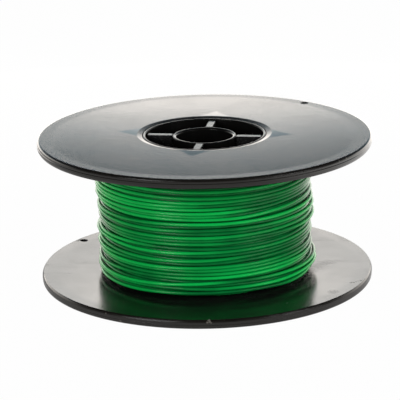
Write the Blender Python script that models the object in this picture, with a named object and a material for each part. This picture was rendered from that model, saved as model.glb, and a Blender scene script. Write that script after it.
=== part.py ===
"""A reel of thin insulated wire: two moulded flanges, a keyed hub and the wound wire.

Lengths are in metres, written as millimetres times MM. +Z is the reel's axis. The origin is
at the centre of the face that the reel stands on. The two flanges are one moulding, used
upright at the top and turned over at the bottom.
"""

import math

import bmesh
import bpy
import numpy as np
from mathutils import Matrix, Vector

MM = 0.001

# Fits
CLEARANCE = 0.3 * MM  # between pieces that touch
WIRE_HOLE_CLEARANCE = 0.4 * MM  # round the wire in its hole through the drum

# Flanges
FLANGE_RADIUS = 60.0 * MM
RIM_THICKNESS = 2.5 * MM
RIM_LAND_WIDTH = 5.0 * MM  # flat ring just inside the rim
RIM_OUTER_ROUND = 0.8 * MM
RIM_INNER_ROUND = 0.5 * MM
HUB_LAND_RADIUS = 31.0 * MM
HUB_LAND_RISE = 0.5 * MM  # of the hub's flat ring over the rim's
LIP_WIDTH = 2.25 * MM  # sloped lip round the hub's opening
LIP_DROP = 0.32 * MM
ANCHOR_HOLE_DIAMETER = 3.0 * MM
ANCHOR_HOLE_RADIUS = 56.8 * MM  # from the axis to the hole
UPPER_ANCHOR_ANGLE = math.radians(48.0)
LOWER_ANCHOR_ANGLE = math.radians(145.0)

# Drum
WINDING_WIDTH = 47.5 * MM  # between the flanges' inner faces
DRUM_RADIUS = 23.0 * MM
SPIGOT_WALL = 0.8 * MM
DRUM_WALL = 2.1 * MM
SPIGOT_CHAMFER = 0.2 * MM
KEY_WIDTH = 5.0 * MM
KEY_REACH = 1.0 * MM  # of a key beyond the spigot
KEY_HEIGHT = 1.5 * MM  # of a key over the drum's shoulder
GUIDE_RIB_WIDTH = 1.0 * MM
GUIDE_RIB_HEIGHT = 1.1 * MM
GUIDE_RIB_LENGTH = 36.0 * MM

# Hub insert
ARBOR_BORE_RADIUS = 10.1 * MM
ARBOR_WALL = 1.2 * MM
ARBOR_CHAMFER = 0.25 * MM
HUB_RECESS = 0.85 * MM  # of the tube and webs below the hub's flat ring
WEB_THICKNESS = 2.5 * MM
WEB_ANGLE = math.radians(-8.5)
WEB_NAMES = ("right", "back", "left", "front")

# Wire
WIRE_DIAMETER = 1.2 * MM
CONDUCTOR_STRAND_DIAMETER = 0.2 * MM
WOUND_RADIUS = 38.8 * MM  # outside the last layer
MOST_OUTER_TURNS = 24
LEAST_TURN_GAP = 0.6 * MM  # between two turns of the last layer
POINTS_A_TURN = 24
END_DROP = 1.2 * MM  # the last layer's fall beside each flange
END_DROP_WIDTH = 4.0 * MM
END_BEND_RADIUS = 2.4 * MM
END_STRAIGHT = 1.4 * MM
END_ANGLE = math.radians(97.0)  # where both ends of the last layer dive
START_HOLE_OFFSET = 4.5 * MM  # from the right web's middle plane
START_HOLE_HEIGHT = 5.0 * MM  # over the lower flange's inner face
TAIL_RISE = 15.0 * MM
CONDUCTOR_LENGTH = 2.0 * MM

# Facets
FLANGE_SEGMENTS = 64
HUB_SEGMENTS = 48
ROUND_STEPS = 4

# Sizes that follow from those above
HUB_THICKNESS = RIM_THICKNESS + HUB_LAND_RISE
TOTAL_HEIGHT = WINDING_WIDTH + 2 * HUB_THICKNESS
MIDDLE = TOTAL_HEIGHT / 2
HALF_WINDING = WINDING_WIDTH / 2
DRUM_BORE_RADIUS = DRUM_RADIUS - DRUM_WALL
SPIGOT_RADIUS = DRUM_BORE_RADIUS + SPIGOT_WALL
HUB_HOLE_RADIUS = SPIGOT_RADIUS + CLEARANCE
LIP_RADIUS = HUB_HOLE_RADIUS + LIP_WIDTH
SHOULDER = HALF_WINDING - CLEARANCE
KEY_TOP = SHOULDER + KEY_HEIGHT
SPIGOT_END = HALF_WINDING + HUB_THICKNESS - LIP_DROP
HUB_END = HALF_WINDING + HUB_THICKNESS - HUB_RECESS
ARBOR_RADIUS = ARBOR_BORE_RADIUS + ARBOR_WALL
WIRE_RADIUS = WIRE_DIAMETER / 2
LAYER_RADIUS = WOUND_RADIUS - WIRE_RADIUS
LAYER_END = SHOULDER - WIRE_RADIUS
OUTER_TURNS = min(MOST_OUTER_TURNS, int(2 * LAYER_END / (WIRE_DIAMETER + LEAST_TURN_GAP)))
# A chord of the wound wire lies this far inside its circle.
CHORD_SAG = LAYER_RADIUS * (1 - math.cos(math.pi / POINTS_A_TURN))
CORE_OFFSET = WIRE_RADIUS + CLEARANCE + CHORD_SAG
SLOT_FLOOR = LAYER_RADIUS - END_DROP - END_BEND_RADIUS - END_STRAIGHT - CLEARANCE


def clear_scene():
    for thing in list(bpy.data.objects):
        bpy.data.objects.remove(thing, do_unlink=True)


def make_material(name, colour, roughness, metallic=0.0):
    material = bpy.data.materials.new(name)
    material.use_nodes = True
    shader = material.node_tree.nodes["Principled BSDF"]
    shader.inputs["Base Color"].default_value = (*colour, 1.0)
    shader.inputs["Roughness"].default_value = roughness
    shader.inputs["Metallic"].default_value = metallic
    material.diffuse_color = (*colour, 1.0)
    return material


def add_object(name, data, material=None):
    thing = bpy.data.objects.new(name, data)
    bpy.context.scene.collection.objects.link(thing)
    if material is not None:
        data.materials.append(material)
    return thing


def mesh_from(bm, name):
    bmesh.ops.recalc_face_normals(bm, faces=bm.faces)
    mesh = bpy.data.meshes.new(name)
    bm.to_mesh(mesh)
    bm.free()
    mesh.shade_smooth()
    mesh.set_sharp_from_angle(angle=math.radians(30))
    return mesh


def turned_mesh(name, profile, segments):
    """A closed outline of (radius, height) points, spun once round Z."""
    bm = bmesh.new()
    corners = [bm.verts.new((radius, 0.0, height)) for radius, height in profile]
    edges = [bm.edges.new((a, b)) for a, b in zip(corners, corners[1:] + corners[:1])]
    bmesh.ops.spin(
        bm,
        geom=corners + edges,
        cent=(0.0, 0.0, 0.0),
        axis=(0.0, 0.0, 1.0),
        angle=2 * math.pi,
        steps=segments,
        use_merge=True,
    )
    return mesh_from(bm, name)


def block_mesh(name, low, high):
    """A box between two corners, with its scale in its mesh."""
    size = Vector(high) - Vector(low)
    centre = (Vector(high) + Vector(low)) / 2
    place = Matrix.Translation(centre) @ Matrix.Diagonal((*size, 1.0))
    bm = bmesh.new()
    bmesh.ops.create_cube(bm, size=1.0, matrix=place)
    return mesh_from(bm, name)


def rod_mesh(name, radius, length, segments=24):
    bm = bmesh.new()
    bmesh.ops.create_cone(
        bm,
        cap_ends=True,
        segments=segments,
        radius1=radius,
        radius2=radius,
        depth=length,
    )
    return mesh_from(bm, name)


def add_boolean(target, tool, operation):
    """Joins or cuts with a helper, which stays in the scene as a hidden wire shape."""
    tool.hide_render = True
    tool.display_type = "WIRE"
    step = target.modifiers.new(f"{operation.lower()}_{tool.name}", "BOOLEAN")
    step.operation = operation
    step.solver = "EXACT"
    step.object = tool


def rounded_corner(centre_r, centre_z, radius, start, end):
    """Points of a round between two angles, in degrees, both ends included."""
    angles = np.radians(np.linspace(start, end, ROUND_STEPS + 1))
    return [(centre_r + radius * math.cos(a), centre_z + radius * math.sin(a)) for a in angles]


def flange_profile():
    """Outline over the flange's inner face, at height 0, from the hub's hole outwards."""
    inner = RIM_INNER_ROUND
    outer = RIM_OUTER_ROUND
    return [
        (HUB_HOLE_RADIUS, 0.0),
        *rounded_corner(FLANGE_RADIUS - inner, inner, inner, -90, 0),
        *rounded_corner(FLANGE_RADIUS - outer, RIM_THICKNESS - outer, outer, 0, 90),
        (FLANGE_RADIUS - RIM_LAND_WIDTH, RIM_THICKNESS),
        (HUB_LAND_RADIUS, HUB_THICKNESS),
        (LIP_RADIUS, HUB_THICKNESS),
        (HUB_HOLE_RADIUS, HUB_THICKNESS - LIP_DROP),
    ]


def make_flange(name, material, anchor_angle, turned_over):
    """A flange with its anchor hole and the key pockets round its hub, seated on the drum."""
    flange = add_object(name, turned_mesh(name, flange_profile(), FLANGE_SEGMENTS), material)
    seat = MIDDLE - HALF_WINDING if turned_over else MIDDLE + HALF_WINDING
    side = -1 if turned_over else 1
    flange.location.z = seat
    flange.rotation_euler.x = math.pi if turned_over else 0.0

    hole = add_object(
        f"{name}_anchor_cutter",
        rod_mesh(f"{name}_anchor_cutter", ANCHOR_HOLE_DIAMETER / 2, 4 * HUB_THICKNESS),
    )
    hole.location = (
        ANCHOR_HOLE_RADIUS * math.cos(anchor_angle),
        ANCHOR_HOLE_RADIUS * math.sin(anchor_angle),
        seat,
    )
    add_boolean(flange, hole, "DIFFERENCE")

    pocket_depth = KEY_TOP - HALF_WINDING + CLEARANCE
    for index, web in enumerate(WEB_NAMES):
        pocket_mesh = block_mesh(
            f"{name}_key_pocket_{web}",
            (DRUM_BORE_RADIUS, -KEY_WIDTH / 2 - CLEARANCE, -HUB_THICKNESS),
            (SPIGOT_RADIUS + KEY_REACH + CLEARANCE, KEY_WIDTH / 2 + CLEARANCE, pocket_depth),
        )
        pocket = add_object(pocket_mesh.name, pocket_mesh)
        pocket.location.z = seat
        pocket.rotation_euler = (0.0 if side > 0 else math.pi, 0.0, web_angle(index))
        add_boolean(flange, pocket, "DIFFERENCE")
    return flange


def web_angle(index):
    return WEB_ANGLE + index * math.pi / 2


def drum_profile():
    """Outline about the reel's middle plane: the drum, and a thinner spigot at each end."""
    upper = [
        (DRUM_RADIUS, SHOULDER),
        (SPIGOT_RADIUS, SHOULDER),
        (SPIGOT_RADIUS, SPIGOT_END - SPIGOT_CHAMFER),
        (SPIGOT_RADIUS - SPIGOT_CHAMFER, SPIGOT_END),
        (DRUM_BORE_RADIUS, SPIGOT_END),
    ]
    lower = [(radius, -height) for radius, height in reversed(upper)]
    return upper + lower


def make_drum(material):
    """The drum, with keys for both flanges, guide ribs for the webs and the wire's start hole."""
    name = "drum_barrel"
    drum = add_object(name, turned_mesh(name, drum_profile(), HUB_SEGMENTS), material)
    drum.location.z = MIDDLE
    for index, web in enumerate(WEB_NAMES):
        for end, side in (("upper", 1), ("lower", -1)):
            heights = sorted((side * (SHOULDER - CLEARANCE), side * KEY_TOP))
            key_mesh = block_mesh(
                f"{end}_key_{web}",
                (DRUM_BORE_RADIUS + SPIGOT_WALL / 2, -KEY_WIDTH / 2, heights[0]),
                (SPIGOT_RADIUS + KEY_REACH, KEY_WIDTH / 2, heights[1]),
            )
            place_on_drum(drum, key_mesh, index)
        for number, side in enumerate((1, -1)):
            near = side * (WEB_THICKNESS / 2 + CLEARANCE)
            sides = sorted((near, near + side * GUIDE_RIB_WIDTH))
            rib_mesh = block_mesh(
                f"guide_rib_{web}_{number}",
                (DRUM_BORE_RADIUS - GUIDE_RIB_HEIGHT, sides[0], -GUIDE_RIB_LENGTH / 2),
                (DRUM_BORE_RADIUS + DRUM_WALL / 2, sides[1], GUIDE_RIB_LENGTH / 2),
            )
            place_on_drum(drum, rib_mesh, index)

    hole_radius = WIRE_RADIUS + WIRE_HOLE_CLEARANCE
    hole = add_object("start_hole_cutter", rod_mesh("start_hole_cutter", hole_radius, 4 * DRUM_WALL))
    hole.location = start_point(DRUM_RADIUS - DRUM_WALL / 2)
    hole.rotation_euler = (0.0, math.pi / 2, WEB_ANGLE)
    add_boolean(drum, hole, "DIFFERENCE")
    return drum


def place_on_drum(drum, mesh, index):
    piece = add_object(mesh.name, mesh)
    piece.location.z = MIDDLE
    piece.rotation_euler.z = web_angle(index)
    add_boolean(drum, piece, "UNION")


def start_point(distance, rise=0.0):
    """A point on the wire's start, this far from the axis along the right web."""
    height = MIDDLE - HALF_WINDING + START_HOLE_HEIGHT + rise
    return Matrix.Rotation(WEB_ANGLE, 3, "Z") @ Vector((distance, START_HOLE_OFFSET, height))


def make_arbor_tube(material):
    chamfer = ARBOR_CHAMFER
    upper = [
        (ARBOR_RADIUS, HUB_END - chamfer),
        (ARBOR_RADIUS - chamfer, HUB_END),
        (ARBOR_BORE_RADIUS + chamfer, HUB_END),
        (ARBOR_BORE_RADIUS, HUB_END - chamfer),
    ]
    lower = [(radius, -height) for radius, height in reversed(upper)]
    tube = add_object(
        "arbor_tube", turned_mesh("arbor_tube", upper + lower, HUB_SEGMENTS), material
    )
    tube.location.z = MIDDLE
    return tube


def make_web(index, material):
    """A flat web from the arbor tube out to the drum's bore, between two guide ribs."""
    name = f"hub_web_{WEB_NAMES[index]}"
    bore = DRUM_BORE_RADIUS * math.cos(math.pi / HUB_SEGMENTS) - CLEARANCE
    outer_end = math.sqrt(bore**2 - (WEB_THICKNESS / 2) ** 2)
    inner_end = ARBOR_RADIUS + CLEARANCE
    mesh = block_mesh(
        name,
        (inner_end, -WEB_THICKNESS / 2, -HUB_END),
        (outer_end, WEB_THICKNESS / 2, HUB_END),
    )
    web = add_object(name, mesh, material)
    web.location.z = MIDDLE
    web.rotation_euler.z = web_angle(index)
    return web


def end_drop(height):
    """How far the last layer falls at this height over the middle plane."""
    into = (abs(height) - (LAYER_END - END_DROP_WIDTH)) / END_DROP_WIDTH
    return END_DROP * max(0.0, into) ** 2


def core_profile():
    heights = np.linspace(LAYER_END - END_DROP_WIDTH, LAYER_END, ROUND_STEPS + 1)
    core_radius = LAYER_RADIUS - CORE_OFFSET
    upper = [(core_radius - end_drop(height), height) for height in heights]
    upper.append((core_radius - END_DROP, SHOULDER))
    upper.append((DRUM_RADIUS + CLEARANCE, SHOULDER))
    lower = [(radius, -height) for radius, height in reversed(upper)]
    return upper[::-1] + lower[::-1]


def make_inner_layers(material):
    """The buried layers as one plain core, with a slot where each end of the last layer dives."""
    name = "wire_inner_layers"
    core = add_object(name, turned_mesh(name, core_profile(), HUB_SEGMENTS), material)
    core.location.z = MIDDLE
    slot_half_width = WIRE_RADIUS + CLEARANCE
    behind = END_BEND_RADIUS + slot_half_width
    for end, side in (("lower", -1), ("upper", 1)):
        heights = sorted((side * (LAYER_END - slot_half_width), side * HALF_WINDING))
        sides = (-behind, END_BEND_RADIUS) if side < 0 else (-END_BEND_RADIUS, behind)
        slot_mesh = block_mesh(
            f"{end}_slot_cutter",
            (SLOT_FLOOR, sides[0], heights[0]),
            (WOUND_RADIUS, sides[1], heights[1]),
        )
        slot = add_object(slot_mesh.name, slot_mesh)
        slot.location.z = MIDDLE
        slot.rotation_euler.z = END_ANGLE
        add_boolean(core, slot, "DIFFERENCE")
    return core


def dive_points(side):
    """One end of the last layer, from the slot's floor to where it joins the turns."""
    radius = LAYER_RADIUS - END_DROP
    centre = radius - END_BEND_RADIUS
    height = side * LAYER_END
    points = [(centre - END_STRAIGHT, side * END_BEND_RADIUS, height)]
    for angle in np.linspace(0, math.pi / 2, ROUND_STEPS + 2)[:-1]:
        reach = centre + END_BEND_RADIUS * math.sin(angle)
        points.append((reach, side * END_BEND_RADIUS * math.cos(angle), height))
    turn = Matrix.Rotation(END_ANGLE, 3, "Z")
    return [turn @ Vector(point) for point in points]


def outer_layer_points():
    """The last layer, from the lower dive, up through its turns, to the upper dive."""
    points = dive_points(-1)
    steps = OUTER_TURNS * POINTS_A_TURN
    for step in range(steps + 1):
        angle = END_ANGLE + 2 * math.pi * step / POINTS_A_TURN
        height = LAYER_END * (2 * step / steps - 1)
        radius = LAYER_RADIUS - end_drop(height)
        points.append(Vector((radius * math.cos(angle), radius * math.sin(angle), height)))
    return points + dive_points(1)[::-1]


def least_gap(points):
    """The least distance between the faces of two neighbouring turns, on the points' chords."""
    line = np.array([tuple(point) for point in points])
    starts, runs = line[:-1], np.diff(line, axis=0)
    lengths = (runs**2).sum(axis=1)
    least = math.inf
    for index, point in enumerate(line):
        later = index + POINTS_A_TURN // 2
        if later >= len(starts):
            break
        share = ((point - starts[later:]) * runs[later:]).sum(axis=1) / lengths[later:]
        nearest = starts[later:] + runs[later:] * np.clip(share, 0, 1)[:, None]
        least = min(least, np.linalg.norm(nearest - point, axis=1).min())
    return least - WIRE_DIAMETER


def add_wire(name, points, height, bevel_resolution, material):
    """One unbroken round tube along the points."""
    curve = bpy.data.curves.new(name, "CURVE")
    curve.dimensions = "3D"
    curve.bevel_depth = WIRE_RADIUS
    curve.bevel_resolution = bevel_resolution
    curve.use_fill_caps = True
    spline = curve.splines.new("POLY")
    spline.points.add(len(points) - 1)
    for place, point in zip(spline.points, points):
        place.co = (*point, 1.0)
    wire = add_object(name, curve, material)
    wire.location.z = height
    return wire


def make_outer_layer(material):
    points = outer_layer_points()
    print(f"wire_outer_layer: least gap to itself {least_gap(points) / MM:.3f} mm")
    return add_wire("wire_outer_layer", points, MIDDLE, 1, material)


def make_start_tail(material):
    """The wire's start: in through the drum's hole, then up beside the right web."""
    bend_start = DRUM_BORE_RADIUS - WIRE_RADIUS
    outer_end = math.sqrt(DRUM_RADIUS**2 - (START_HOLE_OFFSET + WIRE_RADIUS) ** 2)
    points = [start_point(outer_end), start_point(bend_start)]
    for angle in np.linspace(0, math.pi / 2, ROUND_STEPS + 2)[1:]:
        inward = END_BEND_RADIUS * math.sin(angle)
        rise = END_BEND_RADIUS * (1 - math.cos(angle))
        points.append(start_point(bend_start - inward, rise))
    points.append(start_point(bend_start - END_BEND_RADIUS, TAIL_RISE))
    return add_wire("wire_start_tail", points, 0.0, 2, material)


def make_conductor(material):
    """The bared end of the wire's seven strands, six round one, at the start tail's tip."""
    strand = CONDUCTOR_STRAND_DIAMETER / 2
    outline = []
    for lobe in range(6):
        middle = lobe * math.pi / 3
        for turn in np.radians(np.linspace(-105, 105, 7)):
            along = 2 * strand * math.cos(middle) + strand * math.cos(middle + turn)
            across = 2 * strand * math.sin(middle) + strand * math.sin(middle + turn)
            outline.append((along, across, 0.0))
    bm = bmesh.new()
    face = bm.faces.new([bm.verts.new(point) for point in outline])
    raised = bmesh.ops.extrude_face_region(bm, geom=[face])["geom"]
    top = [item for item in raised if isinstance(item, bmesh.types.BMVert)]
    bmesh.ops.translate(bm, verts=top, vec=(0.0, 0.0, CONDUCTOR_LENGTH))
    conductor = add_object("start_conductor", mesh_from(bm, "start_conductor"), material)
    bend_end = DRUM_BORE_RADIUS - WIRE_RADIUS - END_BEND_RADIUS
    conductor.location = start_point(bend_end, TAIL_RISE + CLEARANCE)
    return conductor


def main():
    clear_scene()
    black = make_material("black_flange_plastic", (0.018, 0.018, 0.02), 0.32)
    core_black = make_material("black_hub_plastic", (0.02, 0.02, 0.02), 0.5)
    green = make_material("green_insulation", (0.003, 0.26, 0.05), 0.35)
    dark_green = make_material("green_insulation_buried", (0.002, 0.16, 0.03), 0.45)
    copper = make_material("tinned_copper", (0.72, 0.66, 0.58), 0.3, 1.0)
    make_flange("upper_flange", black, UPPER_ANCHOR_ANGLE, turned_over=False)
    make_flange("lower_flange", black, LOWER_ANCHOR_ANGLE, turned_over=True)
    make_drum(core_black)
    make_arbor_tube(core_black)
    for index in range(len(WEB_NAMES)):
        make_web(index, core_black)
    make_inner_layers(dark_green)
    make_outer_layer(green)
    make_start_tail(green)
    make_conductor(copper)


main()
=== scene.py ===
"""The look of a reel of green equipment wire: moulded black flanges, webbed hub, wound wire.

Everything is in metres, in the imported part's frame: +Z is the reel's axis and z = 0 is the
face that it stands on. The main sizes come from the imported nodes. The rest were measured in the
photograph or, where it hides them, chosen to suit.
"""

import math

import bpy
import numpy as np
from mathutils import Matrix, Vector


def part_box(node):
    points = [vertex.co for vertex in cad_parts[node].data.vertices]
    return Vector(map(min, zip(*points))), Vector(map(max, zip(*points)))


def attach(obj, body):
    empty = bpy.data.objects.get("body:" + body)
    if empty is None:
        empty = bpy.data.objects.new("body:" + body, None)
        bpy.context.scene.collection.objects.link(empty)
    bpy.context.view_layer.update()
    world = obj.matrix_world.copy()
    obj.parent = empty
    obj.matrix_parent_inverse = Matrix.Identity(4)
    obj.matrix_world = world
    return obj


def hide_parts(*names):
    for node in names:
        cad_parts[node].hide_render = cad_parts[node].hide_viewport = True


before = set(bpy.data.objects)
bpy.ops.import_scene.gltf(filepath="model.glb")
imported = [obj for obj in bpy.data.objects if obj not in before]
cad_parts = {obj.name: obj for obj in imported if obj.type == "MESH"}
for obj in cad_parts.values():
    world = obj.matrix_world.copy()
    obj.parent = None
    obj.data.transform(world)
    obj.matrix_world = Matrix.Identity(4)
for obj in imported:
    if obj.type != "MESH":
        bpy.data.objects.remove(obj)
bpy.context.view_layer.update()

MM = 0.001

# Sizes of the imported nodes
UPPER_LOW, UPPER_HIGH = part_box("upper_flange")
LOWER_LOW, LOWER_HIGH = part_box("lower_flange")
DRUM_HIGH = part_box("drum_barrel")[1]
TUBE_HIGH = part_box("arbor_tube")[1]
FLANGE_RADIUS = UPPER_HIGH.x
FLANGE_THICKNESS = UPPER_HIGH.z - UPPER_LOW.z
WINDING_LOW = LOWER_HIGH.z
WINDING_WIDTH = UPPER_LOW.z - LOWER_HIGH.z
MIDDLE = (UPPER_HIGH.z + LOWER_LOW.z) / 2
DRUM_RADIUS = DRUM_HIGH.x
DRUM_TOP = DRUM_HIGH.z
TUBE_RADIUS = TUBE_HIGH.x
TUBE_TOP = TUBE_HIGH.z

# A flange's profile. Heights are over the inner face's level at the hub, towards the outside
OUTER_FACE, INNER_FACE, RIM = 0, 1, 2  # the numbers of a flange's materials
RIM_THICKNESS = 2.65 * MM
RIM_LAND_WIDTH = 5.0 * MM  # of the flat band along the rim, on both faces
OUTER_LAND_DISH = 0.02 * MM  # the outer band's fall from the rim towards the hub
INNER_DISH_START = 40.0 * MM  # the radius from which the inner face leans towards the wire
INNER_DISH = 0.58 * MM  # how far it has come at the inner band
INNER_LAND_RISE = 0.13 * MM  # and how much further the band comes
RIM_ROUND = 0.9 * MM  # between the side and the outer face
RIM_GUARD = 0.08 * MM  # a loop this near it keeps the face beside it flat
RIM_INNER_ROUND = 1.97 * MM  # of the side, up to the inner face's sharp edge
RIM_INNER_TILTS = (45.0, 10.0)  # degrees, of that rounding at its two ends
PARTING_HEIGHT = 1.15 * MM  # of the mould's parting line
PARTING_STEP = 0.06 * MM  # between what the two halves of the mould make
PARTING_GROOVE = (0.2 * MM, 0.06 * MM)  # half width and depth
DOME_FULLNESS = 0.45  # how much the outer face bulges over a straight cone
HUB_HOLE_RADIUS = 22.35 * MM
HUB_HOLE_ROUND = 0.12 * MM
LIP_RADIUS = 24.25 * MM
LIP_DROP = 0.33 * MM
LIP_ROUND = 1.2 * MM
LIP_SLOPE = 9.0  # degrees
FLANGE_SEGMENTS = 480

# The polished mark over each web, on the outer face
MARK_HALF_WIDTH = 6.0 * MM  # at the lip
MARK_LENGTH = 8.8 * MM
MARK_POINT = 1.3  # 1 makes straight sides, more makes them hollow
MARK_EDGE = 0.7 * MM

# The thread hole in each flange
ANCHOR_HOLE_RADIUS = 56.8 * MM  # from the reel's axis
ANCHOR_HOLE_SIZE = 1.5 * MM  # its own radius
ANCHOR_HOLE_FLAT = 11.25  # degrees, of each of its flats
UPPER_ANCHOR_ANGLE = math.radians(48.0)
LOWER_ANCHOR_ANGLE = math.radians(145.0)

# Wear, each mark as its centre and radius
UPPER_FACE_SPECKS = (
    ((0.0322, 0.0168, 0.0531), 0.0003),
    ((0.0302, -0.0031, 0.0533), 0.00028),
    ((-0.0384, 0.0112, 0.0530), 0.0003),
    ((0.0115, -0.0405, 0.0530), 0.00022),
)
INNER_FACE_RUBS = (
    ((-0.0490, 0.0335, 0.0036), 0.0028),
    ((0.0440, -0.0330, 0.0036), 0.0026),
)
INNER_FACE_SCRATCHES = (
    ((-0.0488, 0.0322, 0.0036), 0.0006),
    ((-0.0480, 0.0335, 0.0036), 0.0005),
    ((0.0003, -0.0592, 0.0037), 0.0004),
    ((0.0510, -0.0236, 0.0036), 0.0006),
    ((0.0519, -0.0236, 0.0036), 0.0005),
    ((0.0528, -0.0229, 0.0036), 0.0005),
    ((0.0537, -0.0222, 0.0036), 0.0004),
    ((0.0545, -0.0217, 0.0037), 0.0005),
)
RIM_CHIPS = (
    ((0.0001, -0.0597, 0.0037), 0.0006),
    ((0.0004, -0.0599, 0.0032), 0.0006),
    ((-0.0003, -0.0600, 0.0029), 0.0005),
    ((0.0009, -0.0600, 0.0028), 0.0004),
    ((0.0526, -0.0288, 0.0529), 0.0004),
    ((0.0486, -0.0352, 0.0528), 0.0004),
    ((0.0460, -0.0385, 0.0527), 0.0003),
    ((0.0567, -0.0195, 0.0520), 0.0006),
    ((-0.0300, -0.0519, 0.0012), 0.0005),
)

# The flanges' finish
OUTER_ROUGHNESS = (0.18, 0.24)  # between patches of the outer face
MARK_ROUGHNESS = 0.06
GRAIN_SCALE = 1300.0  # per metre
GRAIN_DEPTH = 0.03 * MM
SPECK_ROUGHNESS = 0.4  # on top of the face's
RUB_ROUGHNESS = 0.1
SCRATCH_ROUGHNESS = 0.5

# Hub
BORE_RADIUS = 21.2 * MM  # of the drum
SPIGOT_RADIUS = 22.05 * MM  # of the drum's ends, which show inside the flanges' lips
SPIGOT_ROUND = 0.36 * MM
SHOULDER_GAP = 0.3 * MM  # from the drum's shoulder to the flange
TUBE_BORE = 10.1 * MM
TUBE_ROUNDS = (0.35 * MM, 0.75 * MM)  # of its ends, outside and inside
WEB_ANGLE = math.radians(-8.5)
WEB_EDGE_ROUND = 0.2 * MM
WEB_CORNER_REACH = 0.01 * MM  # corners this near each other are one corner
HUB_SEGMENTS = 192

# Wire
WIRE_DIAMETER = 1.2 * MM
WIRE_RADIUS = WIRE_DIAMETER / 2
LOWEST_TURN = WIRE_RADIUS  # the height of its centre over the lower flange
HIGHEST_TURN = WINDING_WIDTH - WIRE_RADIUS
WIRE_SIDES = 10
STEPS_A_TURN = 144

# The layers that are laid turn by turn. Tuples have a value for each, the last outermost
LAYER_TURNS = (27, 27, 27, 28, 31)
GUIDE_STOPS = (0.0, 0.3 * MM, 0.7 * MM, 1.2 * MM, 1.8 * MM)  # how early the guide turns back
GUIDE_SHAKE = (0.4 * MM, 0.4 * MM, 0.4 * MM, 0.45 * MM, 0.4 * MM)
SHAKE_SPACING = 0.45  # in turns
GUIDE_WANDER = 0.4 * MM
WANDERS = 6.5  # in one layer
WINDING_START = math.radians(97.0)
LAYING_SEED = 13
SLIDE_REACH = 1.2 * MM  # of a turn away from the guide's line
SLIDE_PLACES = 45  # that are tried in that reach
SLIDE_COST = 0.25  # in mm of climb, for a slide of 1 mm
WIRE_STIFFNESS = 60.0 / MM**2
LAST_TURNS = 90  # only these are there for a new turn to lie on
NEAR_HEIGHT = 6.0 * MM  # and of these, those this near it
JOIN_STEPS = 26  # over which a layer's end bends to meet the next one's start
TUCK_STEPS = 16  # over which the finishing end dives under its neighbours
TUCK_DEPTH = 1.3 * MM

# The bed of buried wire that they lie on
WINDING_CORE = 32.8 * MM  # its mean radius
WINDING_SHOULDER = 3.5 * MM  # from each flange, where the bed starts to fall
SHOULDER_WIDTH = 2.9 * MM  # over which it falls by SHOULDER_DROP
SHOULDER_DROP = 2.0 * MM
SHOULDER_CURVE = 1.3  # 1 makes the fall straight, more makes it start gently
BED_SWELL = 0.5 * MM  # its unevenness at the front and back
SWELL_SPACING = 4.6 * MM
SWELL_STEP = 0.1 * MM  # between the heights in the table of its unevenness
SWELL_HEIGHTS = np.arange(0, WINDING_WIDTH + SWELL_STEP, SWELL_STEP)
SWELL_SEED = 3

# The core under the layers that are laid
CORE_POINTS = 160
CORE_GAP = 0.3 * MM  # to the flanges and the drum
CORE_DEPTH = 0.2 * MM  # under the bed
CORE_RIB = 0.15 * MM

# The winding's outline, which the bed is mended to
LAYING_ROUNDS = 4  # the bed is mended after each but the last
BED_GAIN = 0.5  # the share of the outline's error that each round puts right
MOST_MENDED = 1.0 * MM  # the largest error that counts
MEND_SMOOTHING = 15  # steps of the table
SIDE_SMOOTHING = 121
RIGHT, BACK, LEFT, FRONT = 0.0, 90.0, 180.0, 270.0  # degrees round the reel
WOUND_RADIUS = 38.3 * MM  # the winding's mean radius
SIDE_OUTLINE = 38.5 * MM  # of the winding's front and back
OUTLINE_SPREAD = math.radians(9.0)  # wire this near a side makes its outline
OUTLINE_GAIN = 1.4  # because turns slide into the hollows and even them out
# In the photograph: mm over the lower flange, and mm from the axis
LEFT_OUTLINE = (
    (0.0, 39.2), (3.1, 39.7), (5.5, 39.1), (8.5, 37.8), (10.0, 37.6), (12.7, 38.3),
    (15.8, 39.2), (17.9, 38.8), (20.0, 37.5), (22.7, 38.0), (25.7, 39.1), (28.7, 38.8),
    (32.9, 39.9), (38.0, 38.8), (47.5, 38.8),
)
RIGHT_OUTLINE = (
    (0.0, 37.9), (2.5, 38.2), (5.5, 39.1), (8.0, 38.6), (9.8, 37.4), (11.9, 36.6),
    (14.4, 37.9), (16.4, 38.3), (18.8, 37.8), (20.9, 38.2), (22.4, 37.8), (24.0, 38.5),
    (26.4, 38.0), (27.9, 37.5), (31.2, 37.9), (38.0, 38.2), (47.5, 38.0),
)

# The layers that are pieces: name, tone from 0, dark, to 1, light, and the nodes it stands for.
# The tone is painted shade: deeper layers get less light, so they are painted darker
SHOWN_LAYERS = (
    ("wire_buried_layer", 0.02, []),
    ("wire_under_layer", 0.1, []),
    ("wire_last_layer", 0.52, ["wire_outer_layer"]),
)
TONE_SEED = 5
# How much lighter proud turns and darker sunk turns are painted: painted shade of the hollows
# between turns
HOLLOW_SHADE_CONTRAST = 0.6
HOLLOW_SHADE_DEPTH = 0.55 * MM  # a turn this proud of its neighbours is painted fully bright, one this sunk fully dark: painted shade of the hollows
TONE_DRIFT = 0.12  # along the wire
TONE_SPACING = 0.6  # in turns
END_SHADE = 0.3  # painted shade: how much darker the wire beside a flange is painted
END_SHADE_WIDTHS = (13.0 * MM, 5.0 * MM)  # beside the lower flange and the upper one

# The wire's start
START_HOLE_OFFSET = 4.5 * MM  # from the right web's middle plane
START_HOLE_HEIGHT = 5.0 * MM  # over the lower flange's inner face
TAIL_BEND_START = 20.3 * MM  # from the axis
TAIL_BEND_RADIUS = 2.4 * MM
TAIL_RISE = 15.0 * MM
TAIL_SIDES = 20
TAIL_TONE = 0.45
TAIL_SEED = 8
CUT_END = 0.06 * MM  # the insulation's cut end is drawn in this much
STRAND_RADIUS = 0.1 * MM
STRAND_TWIST = 0.5  # radians over the bare tip
STRAND_SIDES = 8
STRAND_RINGS = 6

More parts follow.
